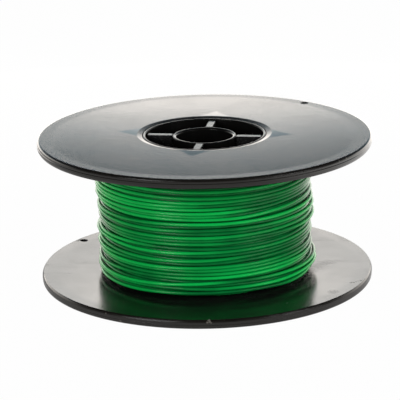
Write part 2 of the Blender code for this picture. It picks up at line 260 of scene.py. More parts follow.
# Light
WHITE = (1.0, 1.0, 1.0)
SKY = (0.06, 0.063, 0.066)
LAMP_AIM = (0.0, 0.0, 0.03)
TENT_RADIUS = 0.35
TENT_FOOT = -0.001
TENT_HEIGHT = 0.45
TENT_SIDES = 96
TENT_FRONT = 0.04  # the tent's light in front, as a share of the light behind
TENT_DROOP = 3.0  # of the bright part's upper edge towards the sides, per metre
MOST_DROOP = 0.016
# The tent's light at each height
TENT_GLOW = (
    (0.0, (3.5, 3.3, 3.08)),
    (0.120, (3.5, 3.3, 3.08)),
    (0.135, (3.25, 3.12, 2.98)),
    (0.141, (2.2, 2.28, 2.28)),
    (0.146, (0.98, 1.2, 1.29)),
    (0.152, (0.68, 0.87, 0.95)),
    (0.160, (0.46, 0.62, 0.7)),
    (0.175, (0.34, 0.46, 0.52)),
    (0.195, (0.24, 0.31, 0.35)),
    (0.25, (0.08, 0.09, 0.10)),
    (0.45, (0.05, 0.053, 0.056)),
)
FLOOR_SIDE = 6.0  # half of it
FLOOR_DROP = 0.02 * MM  # under the reel
FLOOR_WHITENESS = 0.985  # the share of plain white in what the camera sees of the floor
FLOOR_GLOW = (0.55, 1.7)  # in reflections, from the left to the right

# Camera, from a fit to the flanges' edges in the photograph
IMAGE_SIDE = 400
FOCAL_PIXELS = 2130.2
SENSOR_WIDTH = 36.0
CAMERA_DISTANCE = 771.35 * MM
CAMERA_ELEVATION = math.radians(16.687)
CAMERA_ROLL = math.radians(1.233)
OPTICAL_CENTRE = (205.84, 204.15)


# ---------------- shader helpers


def opaque(colour):
    return (*colour, 1.0)


class Shader:
    """The nodes of a material or a world, with short calls for those that are used often."""

    def __init__(self, name, kind="materials"):
        self.owner = getattr(bpy.data, kind).new(name)
        self.owner.use_nodes = True
        self.tree = self.owner.node_tree
        self.surface, self.output = self.tree.nodes

    def add(self, kind, inputs=(), **settings):
        """A new node. Its inputs are given by name, or else in their order."""
        node = self.tree.nodes.new(kind)
        for key, value in settings.items():
            setattr(node, key, value)
        given = inputs.items() if isinstance(inputs, dict) else enumerate(inputs)
        for key, value in given:
            self.put(node.inputs[key], value)
        return node

    def put(self, socket, value):
        if isinstance(value, bpy.types.NodeSocket):
            self.tree.links.new(value, socket)
        elif socket.type == "RGBA":
            socket.default_value = opaque(value)
        else:
            socket.default_value = value

    def finish(self, **values):
        """Sets the surface's inputs, by their names with underlines, and gives its owner."""
        names = {name.replace(" ", "_").lower(): name for name in self.surface.inputs.keys()}
        for key, value in values.items():
            self.put(self.surface.inputs[names[key]], value)
        return self.owner

    def place(self):
        return self.add("ShaderNodeTexCoord").outputs["Object"]

    def stretched(self, vector, scale):
        return self.add("ShaderNodeMapping", {"Vector": vector, "Scale": scale}).outputs["Vector"]

    def vector_math(self, operation, *values):
        return self.add("ShaderNodeVectorMath", values, operation=operation)

    def shaken(self, vector, scale, reach):
        """The place, moved about by up to half of `reach`, for ragged marks."""
        made = self.add("ShaderNodeTexNoise", {"Vector": vector, "Scale": scale, "Detail": 3.0})
        offset = self.vector_math("SUBTRACT", made.outputs["Color"], (0.5, 0.5, 0.5))
        reaches = (reach, reach, reach)
        moved = self.vector_math("MULTIPLY_ADD", offset.outputs["Vector"], reaches, vector)
        return moved.outputs["Vector"]

    def noise(self, vector, scale, detail=2.0, rough=0.5):
        inputs = {"Vector": vector, "Scale": scale, "Detail": detail, "Roughness": rough}
        return self.add("ShaderNodeTexNoise", inputs).outputs["Fac"]

    def spots(self, vector, scale, size):
        """1 inside small round spots, 0 elsewhere."""
        made = self.add("ShaderNodeTexVoronoi", {"Vector": vector, "Scale": scale})
        return self.ramp(made.outputs["Distance"], size, size * 1.6, 1.0, 0.0)

    def blots(self, vector, places):
        """1 inside soft round blots, each given as (centre, radius), 0 elsewhere."""
        total = 0.0
        for centre, radius in places:
            apart = self.vector_math("DISTANCE", vector, centre).outputs["Value"]
            blot = self.ramp(apart, radius * 0.4, radius, 1.0, 0.0)
            total = self.math("MAXIMUM", blot, total)
        return total

    def ramp(self, value, low, high, to_low, to_high):
        """Goes from to_low to to_high while the value goes from low to high."""
        inputs = {"Value": value, "From Min": low, "From Max": high}
        inputs.update({"To Min": to_low, "To Max": to_high})
        made = self.add("ShaderNodeMapRange", inputs, interpolation_type="SMOOTHSTEP")
        return made.outputs["Result"]

    def math(self, operation, *values):
        return self.add("ShaderNodeMath", values, operation=operation).outputs[0]

    def mix(self, factor, first, second):
        inputs = {"Factor": factor, "A": first, "B": second}
        return self.add("ShaderNodeMix", inputs, data_type="RGBA").outputs["Result"]

    def bump(self, height, distance, strength=1.0):
        inputs = {"Height": height, "Distance": distance, "Strength": strength}
        return self.add("ShaderNodeBump", inputs).outputs["Normal"]

    def glow(self, colour, strength):
        return self.add("ShaderNodeEmission", {"Color": colour, "Strength": strength}).outputs[0]

    def blend(self, share, first, second):
        """Two shaders, the second one by that share."""
        return self.add("ShaderNodeMixShader", (share, first, second)).outputs[0]

    def show(self, shader):
        """Puts another shader in the place of the surface."""
        self.put(self.output.inputs["Surface"], shader)


# ---------------- finishes


def flange_outer_finish():
    """Satin black polystyrene, finely speckled by the mould, with dust and a few pale specks.
    The marks over the webs are polished."""
    made = Shader("flange_outer_plastic")
    place = made.place()
    mark = made.add("ShaderNodeAttribute", attribute_name="mark").outputs["Fac"]
    grain = made.noise(place, GRAIN_SCALE, 3.0, 0.6)
    rough_share = made.math("SUBTRACT", 1.0, mark)
    relief = made.math("MULTIPLY", made.math("SUBTRACT", grain, 0.5), rough_share)
    cloud = made.noise(place, 60.0, 3.0)
    dust = made.spots(place, 300.0, 0.035)
    specks = made.blots(place, UPPER_FACE_SPECKS)
    marked = made.math("MAXIMUM", dust, specks)
    plain = made.mix(cloud, (0.004, 0.0045, 0.005), (0.008, 0.008, 0.008))
    speckle = made.ramp(grain, 0.42, 0.6, 0.0, 1.0)
    tint = made.mix(speckle, plain, (0.018, 0.018, 0.018))
    satin = made.ramp(made.math("ADD", grain, cloud), 0.6, 1.4, *OUTER_ROUGHNESS)
    polish = made.math("MULTIPLY", mark, OUTER_ROUGHNESS[0] - MARK_ROUGHNESS)
    scuffed = made.math("ADD", satin, made.math("MULTIPLY", specks, SPECK_ROUGHNESS))
    return made.finish(
        base_color=made.mix(marked, tint, (0.16, 0.15, 0.14)),
        roughness=made.math("SUBTRACT", scuffed, polish),
        normal=made.bump(relief, GRAIN_DEPTH),
        ior=1.43,
    )


def flange_inner_finish():
    """The same plastic from the mould's other side, hazy from handling, rubbed and scratched
    in a few places."""
    made = Shader("flange_inner_plastic")
    place = made.place()
    cloud = made.noise(place, 90.0, 2.0)
    grain = made.noise(place, 900.0, 3.0, 0.6)
    smears = made.noise(made.stretched(place, (0.35, 1.0, 1.0)), 110.0, 4.0, 0.65)
    haze = made.ramp(smears, 0.56, 0.72, 0.0, 1.0)
    shaken = made.shaken(place, 900.0, 0.0012)
    rubs = made.math("MAXIMUM", made.blots(shaken, INNER_FACE_RUBS), haze)
    scratch = made.blots(shaken, INNER_FACE_SCRATCHES)
    tint = made.mix(cloud, (0.003, 0.0035, 0.0035), (0.006, 0.006, 0.0055))
    rubbed = made.math("MULTIPLY", rubs, RUB_ROUGHNESS)
    scratched = made.math("MULTIPLY", scratch, SCRATCH_ROUGHNESS)
    dull = made.math("MAXIMUM", rubbed, scratched)
    return made.finish(
        base_color=made.mix(scratch, tint, (0.10, 0.10, 0.095)),
        roughness=made.math("ADD", made.ramp(cloud, 0.3, 0.7, 0.19, 0.23), dull),
        normal=made.bump(grain, 0.00001, 0.5),
        ior=1.65,
    )


def rim_finish():
    """The rim's side, streaked round the reel and a little brown, with nicks and chips."""
    made = Shader("flange_rim_plastic")
    place = made.place()
    along = made.noise(made.stretched(place, (1.0, 1.0, 6.0)), 260.0, 4.0, 0.6)
    nicks = made.spots(place, 130.0, 0.03)
    chips = made.blots(made.shaken(place, 1400.0, 0.0009), RIM_CHIPS)
    damage = made.math("MAXIMUM", nicks, chips)
    tint = made.mix(along, (0.002, 0.0018, 0.0015), (0.008, 0.0068, 0.0055))
    return made.finish(
        base_color=made.mix(damage, tint, (0.075, 0.07, 0.062)),
        roughness=made.ramp(along, 0.3, 0.7, 0.12, 0.19),
        normal=made.bump(along, 0.00001, 0.4),
        ior=1.55,
    )


def hub_finish():
    """The hub's black plastic, with faint draw marks down its walls."""
    made = Shader("hub_plastic")
    place = made.place()
    drawn = made.noise(made.stretched(place, (1.0, 1.0, 0.12)), 1100.0, 2.0)
    cloud = made.noise(place, 120.0, 2.0)
    return made.finish(
        base_color=made.mix(cloud, (0.0015, 0.0015, 0.0015), (0.003, 0.0028, 0.0026)),
        roughness=made.ramp(drawn, 0.3, 0.7, 0.1, 0.14),
        normal=made.bump(drawn, 0.000002, 0.3),
        ior=1.45,
    )


def web_finish():
    """The webs' ends, pitted and dusty. Their sides are as dark as the rest of the hub."""
    made = Shader("web_plastic")
    place = made.place()
    facing = made.add("ShaderNodeNewGeometry").outputs["Normal"]
    upward = made.add("ShaderNodeSeparateXYZ", {"Vector": facing}).outputs["Z"]
    end = made.ramp(made.math("ABSOLUTE", upward), 0.6, 0.9, 0.0, 1.0)
    pits = made.noise(place, 1500.0, 4.0, 0.7)
    dust = made.ramp(made.noise(place, 900.0, 3.0), 0.4, 0.65, 0.0, 1.0)
    dusty = made.mix(dust, (0.02, 0.02, 0.019), (0.07, 0.068, 0.065))
    return made.finish(
        base_color=made.mix(end, (0.005, 0.005, 0.005), dusty),
        roughness=made.ramp(pits, 0.3, 0.7, 0.16, 0.3),
        normal=made.bump(pits, 0.00002, 0.4),
        ior=1.45,
    )


def wire_finish():
    """Green PVC insulation with a fine extruded skin. Its green follows the wire's tone, which
    holds small random changes along the wire and painted light and shade: proud turns lighter,
    hollows, deeper layers and the ends beside the flanges darker.
    """
    made = Shader("green_pvc")
    place = made.place()
    tone_and_shade = made.add("ShaderNodeAttribute", attribute_name="tone_and_shade").outputs["Fac"]
    skin = made.noise(place, 1100.0, 2.0)
    cloud = made.noise(place, 140.0, 2.0)
    mixed = made.math("ADD", made.math("MULTIPLY", tone_and_shade, 0.7), made.math("MULTIPLY", cloud, 0.3))
    return made.finish(
        # The tone attribute carries painted light and shade as well as the wire's own random tone
        base_color=made.mix(mixed, (0.0003, 0.05, 0.012), (0.002, 0.34, 0.054)),
        roughness=made.ramp(skin, 0.3, 0.7, 0.16, 0.21),
        normal=made.bump(skin, 0.000002, 0.3),
        specular_ior_level=0.25,
        ior=1.5,
    )


def copper_finish():
    """Tinned copper strands, with the draw marks of the die and thin patches of tin."""
    made = Shader("tinned_copper_strands")
    place = made.place()
    worn = made.ramp(made.noise(place, 2500.0, 3.0), 0.5, 0.65, 0.0, 1.0)
    return made.finish(
        base_color=made.mix(worn, (0.72, 0.70, 0.66), (0.70, 0.42, 0.26)),
        roughness=made.ramp(made.noise(place, 4000.0), 0.3, 0.7, 0.2, 0.4),
        metallic=1.0,
    )


# ---------------- mesh helpers


def new_object(name, data):
    made = bpy.data.objects.new(name, data)
    bpy.context.scene.collection.objects.link(made)
    return made


def new_piece(name, mesh, slot, *nodes):
    """A mesh that rides on the reel and stands for CAD nodes, which it hides. Its slot is not
    used.
    """
    piece = new_object(name, mesh)
    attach(piece, "root")
    if nodes:
        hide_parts(*nodes)
    return piece


def mesh_of(name, points, faces, materials, material_index=None, crease=30.0):
    """A mesh that is smooth but for its edges of more than `crease` degrees."""
    mesh = bpy.data.meshes.new(name)
    mesh.from_pydata([tuple(point) for point in points], [], [tuple(face) for face in faces])
    for material in materials:
        mesh.materials.append(material)
    if material_index is not None:
        mesh.polygons.foreach_set("material_index", np.asarray(material_index, np.int32))
    mesh.shade_smooth()
    mesh.set_sharp_from_angle(angle=math.radians(crease))
    mesh.update()
    return mesh


def arc(centre_r, centre_z, radius, start, end, steps):
    """Points on an arc, with both ends, which are angles in degrees."""
    angles = np.radians(np.linspace(start, end, steps + 1))
    return [(centre_r + radius * math.cos(a), centre_z + radius * math.sin(a)) for a in angles]


def stretch(start, end, steps):
    """Points on a straight line from start up to end, without the end."""
    return [tuple(np.add(start, np.subtract(end, start) * i / steps)) for i in range(steps)]


def lattice(rings, sides):
    """The quads between rings of points that follow each other, ring by ring."""
    ring, side = np.meshgrid(np.arange(rings - 1), np.arange(sides), indexing="ij")
    first = ring * sides
    after = first + sides
    beside = (side + 1) % sides
    quads = np.stack([first + side, first + beside, after + beside, after + side], 2)
    return quads.reshape(-1, 4)


def tube_faces(rings, sides):
    """The same quads, and a flat face on each end."""
    last = (rings - 1) * sides
    ends = [tuple(range(sides))[::-1], tuple(range(last, last + sides))]
    return lattice(rings, sides).tolist() + ends


def revolved(profile, segments):
    """Points and quads of a closed outline turned round Z. The outline runs anticlockwise
    when radius points right and height points up."""
    outline = np.array(profile)
    count = len(outline)
    angles = 2 * math.pi * np.arange(segments) / segments
    radius, angle = np.meshgrid(outline[:, 0], angles)
    height = np.broadcast_to(outline[:, 1], radius.shape)
    points = np.stack([radius * np.cos(angle), radius * np.sin(angle), height], 2)
    faces = lattice(segments + 1, count) % (segments * count)
    return points.reshape(-1, 3), faces[:, (0, 3, 2, 1)]


def eased(share):
    """A share from 0 to 1, with a gentle start and end."""
    return share * share * (3 - 2 * share)


def point_values(mesh, name, values):
    """Keeps a number for each point, for a material to read."""
    attribute = mesh.attributes.new(name, "FLOAT", "POINT")
    attribute.data.foreach_set("value", values.astype(np.float32))


# ---------------- flanges


def mark_share(radius, angle):
    """1 on the pointed mark over each web, 0 elsewhere. The mould is polished there."""
    out = np.clip((radius - LIP_RADIUS) / MARK_LENGTH, 0, 1)
    nearest = np.round((angle - WEB_ANGLE) / (math.pi / 2)) * math.pi / 2 + WEB_ANGLE
    across = np.abs(radius * np.sin(angle - nearest))
    half_width = MARK_HALF_WIDTH * (1 - out) ** MARK_POINT
    edge = np.clip((half_width - across) / MARK_EDGE, 0, 1)
    on_face = radius > LIP_RADIUS - 0.01 * MM
    return np.where(on_face, eased(edge), 0.0)


def flange_profile():
    """The flange's outline, and the material number of each of its points. It starts at the
    hub's hole, on the inner face, and runs out to the rim and back over the outer face."""
    band_radius = FLANGE_RADIUS - RIM_LAND_WIDTH
    inner_band = (band_radius, -INNER_DISH)
    outer_band = (band_radius, RIM_THICKNESS - OUTER_LAND_DISH)

    edge_tilt, last_tilt = RIM_INNER_TILTS
    edge_height = -INNER_DISH - INNER_LAND_RISE
    middle_radius = FLANGE_RADIUS - RIM_INNER_ROUND * math.cos(math.radians(last_tilt))
    middle_height = edge_height + RIM_INNER_ROUND * math.sin(math.radians(edge_tilt))
    side_arc = arc(middle_radius, middle_height, RIM_INNER_ROUND, -edge_tilt, -last_tilt, 6)
    inner_edge = side_arc[0]

    side = FLANGE_RADIUS - PARTING_STEP
    groove, groove_depth = PARTING_GROOVE
    parting = [
        (FLANGE_RADIUS, PARTING_HEIGHT - groove),
        (side - groove_depth, PARTING_HEIGHT),
        (side, PARTING_HEIGHT + groove),
    ]
    round_radius = side - RIM_ROUND
    outer_round = arc(round_radius, RIM_THICKNESS - RIM_ROUND, RIM_ROUND, 0, 90, 8)
    outer_edge = (round_radius - RIM_GUARD, RIM_THICKNESS)

    lip_top = (LIP_RADIUS, FLANGE_THICKNESS)
    lip = arc(LIP_RADIUS, FLANGE_THICKNESS - LIP_ROUND, LIP_ROUND, 90, 90 + LIP_SLOPE, 4)
    hole_round = HUB_HOLE_RADIUS + HUB_HOLE_ROUND
    hole_top = FLANGE_THICKNESS - LIP_DROP
    inner_face = [
        *stretch((HUB_HOLE_RADIUS, 0.0), (INNER_DISH_START, 0.0), 10),
        *stretch((INNER_DISH_START, 0.0), inner_band, 12),
        *stretch(inner_band, inner_edge, 6),
    ]
    rim = side_arc + parting + outer_round
    outer_face = [
        *stretch(outer_edge, outer_band, 5),
        *dome(outer_band, lip_top, 60),
        *lip,
        *stretch(lip[-1], (hole_round, hole_top), 4)[1:],
        *arc(hole_round, hole_top - HUB_HOLE_ROUND, HUB_HOLE_ROUND, 90, 180, 4),
    ]
    numbers = [INNER_FACE] * len(inner_face) + [RIM] * len(rim) + [OUTER_FACE] * len(outer_face)
    return inner_face + rim + outer_face, numbers


def dome(start, end, steps):
    """The outer face's gentle rise from the rim's band to the hub's lip, without its end."""
    points = []
    for i in range(steps):
        share = i / steps
        rise = share + DOME_FULLNESS * share * (1 - share)
        radius = start[0] + (end[0] - start[0]) * share
        points.append((radius, start[1] + (end[1] - start[1]) * rise))
    return points


def make_flange(name, node, anchor_angle, turned_over, materials):
    """One flange. Both are the same moulding, and the lower one is turned over."""
    outline, numbers = flange_profile()
    points, faces = revolved(outline, FLANGE_SEGMENTS)
    if turned_over:
        points = points * (1, -1, -1) + (0, 0, WINDING_LOW)
    else:
        points = points + (0, 0, WINDING_LOW + WINDING_WIDTH)
    mesh = mesh_of(name, points, faces, materials, numbers * FLANGE_SEGMENTS)
    radius = np.hypot(points[:, 0], points[:, 1])
    angle = np.arctan2(points[:, 1] * (-1 if turned_over else 1), points[:, 0])
    outer = np.abs(points[:, 2] - MIDDLE) > WINDING_WIDTH / 2 + RIM_THICKNESS / 2
    point_values(mesh, "mark", np.where(outer, mark_share(radius, angle), 0.0))
    drill(new_piece(name, mesh, "black_flange_plastic", node), anchor_angle)


def drill(flange, angle):
    """Cuts the small thread hole through the flange and applies the cut."""
    flats = np.radians(np.arange(0, 360, ANCHOR_HOLE_FLAT))
    circle = [(math.cos(a), math.sin(a)) for a in flats]
    heights = [corner[2] for corner in flange.bound_box]
    middle = (min(heights) + max(heights)) / 2
    centre = (ANCHOR_HOLE_RADIUS * math.cos(angle), ANCHOR_HOLE_RADIUS * math.sin(angle))
    reach = 4 * FLANGE_THICKNESS
    points = [
        (centre[0] + ANCHOR_HOLE_SIZE * x, centre[1] + ANCHOR_HOLE_SIZE * y, middle + z)
        for z in (-reach, reach)
        for x, y in circle
    ]
    cutter_mesh = bpy.data.meshes.new("anchor_hole_cutter")
    cutter_mesh.from_pydata(points, [], tube_faces(2, len(circle)))
    cutter_mesh.materials.append(flange.data.materials[0])
    cutter = new_object("anchor_hole_cutter", cutter_mesh)
    cut = flange.modifiers.new("anchor_hole", "BOOLEAN")
    cut.operation = "DIFFERENCE"
    cut.solver = "EXACT"
    cut.object = cutter
    bpy.context.view_layer.update()
    evaluated = flange.evaluated_get(bpy.context.evaluated_depsgraph_get())
    drilled = bpy.data.meshes.new_from_object(evaluated)
    flange.modifiers.clear()
    flange.data = drilled
    bpy.data.objects.remove(cutter)


# ---------------- hub


def make_hub_ring(name, node, upper, material):
    """A ring of the hub, from the upper half of its outline. The lower half is its mirror."""
    lower = [(radius, 2 * MIDDLE - height) for radius, height in reversed(upper)]
    mesh = mesh_of(name, *revolved(upper + lower, HUB_SEGMENTS), [material])
    new_piece(name, mesh, "black_hub_plastic", node)


def make_drum(material):
    """The drum with its two spigots, whose ends show inside the flanges' lips."""
    shoulder = WINDING_LOW + WINDING_WIDTH - SHOULDER_GAP
    rounding = SPIGOT_ROUND
    upper = [
        (DRUM_RADIUS, shoulder),
        (SPIGOT_RADIUS, shoulder),
        *arc(SPIGOT_RADIUS - rounding, DRUM_TOP - rounding, rounding, 0, 90, 5),
        *arc(BORE_RADIUS + rounding, DRUM_TOP - rounding, rounding, 90, 180, 5),
    ]
    make_hub_ring("hub_drum", "drum_barrel", upper, material)


def make_tube(material):
    outer_round, inner_round = TUBE_ROUNDS
    upper = [
        *arc(TUBE_RADIUS - outer_round, TUBE_TOP - outer_round, outer_round, 0, 90, 6),
        *arc(TUBE_BORE + inner_round, TUBE_TOP - inner_round, inner_round, 90, 180, 6),
    ]
    make_hub_ring("hub_tube", "arbor_tube", upper, material)


def finish_webs(material):
    """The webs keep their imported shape, with slightly rounded edges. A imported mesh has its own
    corners on every face, and they have to be joined before an edge can be rounded."""
    for name in ("right", "back", "left", "front"):
        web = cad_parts[f"hub_web_{name}"]
        for slot in web.material_slots:
            slot.material = material
        joined = web.modifiers.new("corners_joined", "WELD")
        joined.merge_threshold = WEB_CORNER_REACH
        rounding = web.modifiers.new("edge_round", "BEVEL")
        rounding.width = WEB_EDGE_ROUND
        rounding.segments = 3
        rounding.limit_method = "ANGLE"


# ---------------- winding


def smooth_noise(random, count, spacing):
    """A smooth random line of that many samples, with a knot every `spacing` samples."""
    knots = random.normal(size=int(count / spacing) + 5)
    at = np.arange(count) / spacing
    i = at.astype(int)
    t = at - i
    a, b, c, d = knots[i], knots[i + 1], knots[i + 2], knots[i + 3]
    return 0.5 * (
        2 * b + (c - a) * t + (2 * a - 5 * b + 4 * c - d) * t**2 + (3 * b - a - 3 * c + d) * t**3
    )


def padded(values, width):
    """The values with the first and last ones repeated for half a width."""
    half = width // 2
    return np.concatenate([np.full(half, values[0]), values, np.full(half, values[-1])])


def rolling_mean(values, width):
    return np.convolve(padded(values, width), np.ones(width) / width, "valid")


def rolling_top(values, width):
    return np.lib.stride_tricks.sliding_window_view(padded(values, width), width).max(1)


def angles_of(steps):
    """The angle round the reel at each of a line's steps."""
    return WINDING_START + 2 * math.pi * np.arange(steps) / STEPS_A_TURN


def facing(side):
    """1 at the step of a turn that is on a side of the reel, down to 0 a quarter turn away."""
    around = angles_of(STEPS_A_TURN) - math.radians(side)
    return np.clip(np.cos(around), 0, 1)[:, None] ** 2


def radii_of(outline):
    """An outline's radius at each height of the table."""
    return np.interp(SWELL_HEIGHTS, *np.transpose(outline) * MM)


def swell_table():
    """How proud the bed is: one row a step round the drum, one column a height."""
    random = np.random.default_rng(SWELL_SEED)
    count = len(SWELL_HEIGHTS)
    right = OUTLINE_GAIN * (radii_of(RIGHT_OUTLINE) - WOUND_RADIUS)
    left = OUTLINE_GAIN * (radii_of(LEFT_OUTLINE) - WOUND_RADIUS)
    front = BED_SWELL * smooth_noise(random, count, SWELL_SPACING / SWELL_STEP)
    back = BED_SWELL * smooth_noise(random, count, SWELL_SPACING / SWELL_STEP)
    table = np.zeros((STEPS_A_TURN, count))
    for side, swell in ((RIGHT, right), (BACK, back), (LEFT, left), (FRONT, front)):
        table += facing(side) * swell
    return table


def bed_radius(height, swells):
    """Where a wire's centre lies on the bed, at heights over the lower flange. `height` has one
    row a step round the reel."""
    near = np.minimum(height, WINDING_WIDTH - height)
    into = np.clip((WINDING_SHOULDER - near) / SHOULDER_WIDTH, 0, 1.2)
    column = np.round(height / SWELL_STEP).astype(int)
    row = np.arange(len(height)) % STEPS_A_TURN
    if height.ndim == 2:
        row = row[:, None]
    fall = SHOULDER_DROP * into**SHOULDER_CURVE
    return WINDING_CORE + WIRE_RADIUS - fall + swells[row, column]


def resting_radius(height, laid, swells):
    """The radius at which a wire at these heights rests on the bed and on the turns laid."""
    radius = bed_radius(height, swells)
    for turn_height, turn_radius in laid:
        if height.ndim == 2:
            turn_height, turn_radius = turn_height[:, None], turn_radius[:, None]
        lift = np.sqrt(np.clip(WIRE_DIAMETER**2 - (height - turn_height) ** 2, 0, None))
        radius = np.maximum(radius, np.where(lift > 0, turn_radius + lift, 0))
    return radius


def settle(guide, laid, before, swells):
    """The heights that one turn takes, and the laid turns near it. The turn slides from the
    guide's line into the nearest grooves, as far as its tension lets it bend: of all ways
    through the places tried at each step, it takes the cheapest."""
    slides = np.linspace(-SLIDE_REACH, SLIDE_REACH, SLIDE_PLACES)
    places = np.clip(guide[:, None] + slides, LOWEST_TURN, HIGHEST_TURN)
    middle = guide.mean()
    near = [turn for turn in laid[-LAST_TURNS:] if abs(turn[0].mean() - middle) < NEAR_HEIGHT]
    climb = resting_radius(places, near, swells) / MM + SLIDE_COST * (slides / MM) ** 2
    best = climb[0] + WIRE_STIFFNESS * (places[0] - before) ** 2
    came_from = []
    for step in range(1, len(guide)):
        drift = guide[step] - guide[step - 1]
        bend = WIRE_STIFFNESS * (places[step][None] - places[step - 1][:, None] - drift) ** 2
        total = best[:, None] + bend
        choice = total.argmin(0)
        came_from.append(choice)
        best = total[choice, np.arange(len(slides))] + climb[step]
    choice = best.argmin()
    path = [choice]
    for previous in reversed(came_from):
        choice = previous[choice]
        path.append(choice)
    return places[np.arange(len(guide)), path[::-1]], near


def guide_line(random, layer):
    """The heights at which the winder's guide lays a layer: an even pass between the flanges,
    with a slow wander and a quick shake."""
    steps = LAYER_TURNS[layer] * STEPS_A_TURN
    share = np.arange(steps) / steps
    taper = np.sin(np.pi * share) ** 0.7
    stop = GUIDE_STOPS[layer]
    line = LOWEST_TURN + stop + (HIGHEST_TURN - LOWEST_TURN - 2 * stop) * share
    line += GUIDE_WANDER * smooth_noise(random, steps, steps / WANDERS) * taper
    line += GUIDE_SHAKE[layer] * smooth_noise(random, steps, STEPS_A_TURN * SHAKE_SPACING) * taper
    if layer % 2:
        line = WINDING_WIDTH - line
    return np.clip(line, LOWEST_TURN, HIGHEST_TURN)


def carried_on(values, before, width):
    """One turn's values, evened out over that many steps. They follow on from the turn before,
    if there is one in the layer."""
    run_up = np.full(width, values[0]) if before is None else before[-width:]
    return rolling_mean(np.concatenate([run_up, values]), width)[width:]


def lay_wire(swells):
    """Winds the last layers turn by turn and returns each layer's (heights, radii)."""
    random = np.random.default_rng(LAYING_SEED)
    laid, layers = [], []
    for layer, turns in enumerate(LAYER_TURNS):
        guide = guide_line(random, layer)
        heights_before, radii_before = None, None
        for line in guide.reshape(turns, STEPS_A_TURN):
            last = guide[0] if heights_before is None else heights_before[-1]
            heights, near = settle(line, laid, last, swells)
            heights = carried_on(heights, heights_before, 7)
            radii = rolling_top(resting_radius(heights, near, swells), 9)
            radii = carried_on(radii, radii_before, 9)
            laid.append((heights, radii))
            heights_before, radii_before = heights, radii
        heights = np.concatenate([turn[0] for turn in laid[-turns:]])
        radii = np.concatenate([turn[1] for turn in laid[-turns:]])
        layers.append((heights, rolling_mean(radii, 5)))
    return layers


def outline_at(layers, side):
    """The winding's outer radius at each height, where its outline is at that side."""
    heights = np.concatenate([layer[0] for layer in layers])
    radii = np.concatenate([layer[1] for layer in layers])
    turned = angles_of(len(heights)) - math.radians(side)
    turned = (turned + math.pi) % (2 * math.pi) - math.pi
    near = np.abs(turned) < OUTLINE_SPREAD
    aside = radii[near] * np.cos(turned[near])
    apart = np.abs(SWELL_HEIGHTS[:, None] - heights[near])
    half = np.sqrt(np.clip(WIRE_RADIUS**2 - apart**2, 0, None))
    outline = np.where(apart < WIRE_RADIUS, aside + half, 0).max(1)
    filled = outline > 0
    return np.interp(SWELL_HEIGHTS, SWELL_HEIGHTS[filled], outline[filled])


def lay_to_outline():
    """Lays the wire a few times, each time on a bed mended by how far the outline was out."""
    swells = swell_table()
    plain = np.full(len(SWELL_HEIGHTS), SIDE_OUTLINE)
    right, left = radii_of(RIGHT_OUTLINE), radii_of(LEFT_OUTLINE)
    wanted = ((RIGHT, right), (LEFT, left), (FRONT, plain), (BACK, plain))
    layers = lay_wire(swells)
    for _ in range(LAYING_ROUNDS - 1):
        shown = layers[-len(SHOWN_LAYERS) :]
        for side, outline in wanted:
            error = outline - outline_at(shown, side)
            if outline is plain:
                error = rolling_mean(error, SIDE_SMOOTHING)
            error = np.clip(rolling_mean(error, MEND_SMOOTHING), -MOST_MENDED, MOST_MENDED)
            swells += facing(side) * BED_GAIN * error
        layers = lay_wire(swells)
    return layers, swells


def join_layers(layers):
    """Bends each layer's end and the next one's start to one point, since the wire is one
    length, and tucks the finishing end under the turns beside it."""
    blend = eased(np.linspace(0, 1, JOIN_STEPS))
    for below, above in zip(layers, layers[1:]):
        for line, following in zip(below, above):
            middle = (line[-1] + following[0]) / 2
            line[-JOIN_STEPS:] += blend * (middle - line[-1])
            following[:JOIN_STEPS] += blend[::-1] * (middle - following[0])
    layers[-1][1][-TUCK_STEPS:] -= TUCK_DEPTH * eased(np.linspace(0, 1, TUCK_STEPS))


def tube_mesh(name, centres, radii, sides, material, tones, across=None):
    """A closed round tube along the centres, with a tone for each of them.
    `across` is a direction square to the whole line, where the line is flat."""
    centres = np.asarray(centres)
    count = len(centres)
    along = np.gradient(centres, axis=0)
    along /= np.linalg.norm(along, axis=1)[:, None]
    if across is None:
        across = np.cross(along, centres * (1, 1, 0))
    across = np.broadcast_to(across, along.shape)
    across = across / np.linalg.norm(across, axis=1)[:, None]
    outwards = np.cross(across, along)
    turn = (2 * math.pi * np.arange(sides) / sides)[None, :, None]
    ring = np.cos(turn) * outwards[:, None] + np.sin(turn) * across[:, None]
    radii = np.broadcast_to(radii, count)
    points = (centres[:, None] + radii[:, None, None] * ring).reshape(-1, 3)
    mesh = mesh_of(name, points, tube_faces(count, sides), [material], crease=60.0)
    point_values(mesh, "tone_and_shade", np.repeat(tones, sides))
    return mesh


def typical_radius(layer, heights):
    """The layer's mean radius near each height, over a band about three turns wide."""
    bins = np.arange(0, WINDING_WIDTH, 0.5 * MM)
    reach = 4  # bins
    place = np.digitize(layer[0], bins)
    middles = range(reach, len(bins) - reach)
    means = [layer[1][np.abs(place - middle) < reach].mean() for middle in middles]
    return np.interp(heights, bins[reach:-reach], means)


def wire_tones_and_shade(random, layer_shade_level, heights, proud):
    """The wire's tone along a layer, all painted shade but for a random drift: its layer's shade
    level, lighter where it stands proud and darker where it is sunk, and darker beside the
    flanges."""
    # Painted shade of the hollows: proud turns are painted lighter, sunk ones darker
    tones = layer_shade_level + HOLLOW_SHADE_CONTRAST * np.clip(proud / HOLLOW_SHADE_DEPTH, -1, 1)
    tones += TONE_DRIFT * smooth_noise(random, len(heights), STEPS_A_TURN * TONE_SPACING)
    # Painted shade beside the flanges
    low_width, high_width = END_SHADE_WIDTHS
    tones -= END_SHADE * np.clip(1 - heights / low_width, 0, 1)
    tones -= END_SHADE * np.clip(1 - (WINDING_WIDTH - heights) / high_width, 0, 1)
    return np.clip(tones, 0, 1)


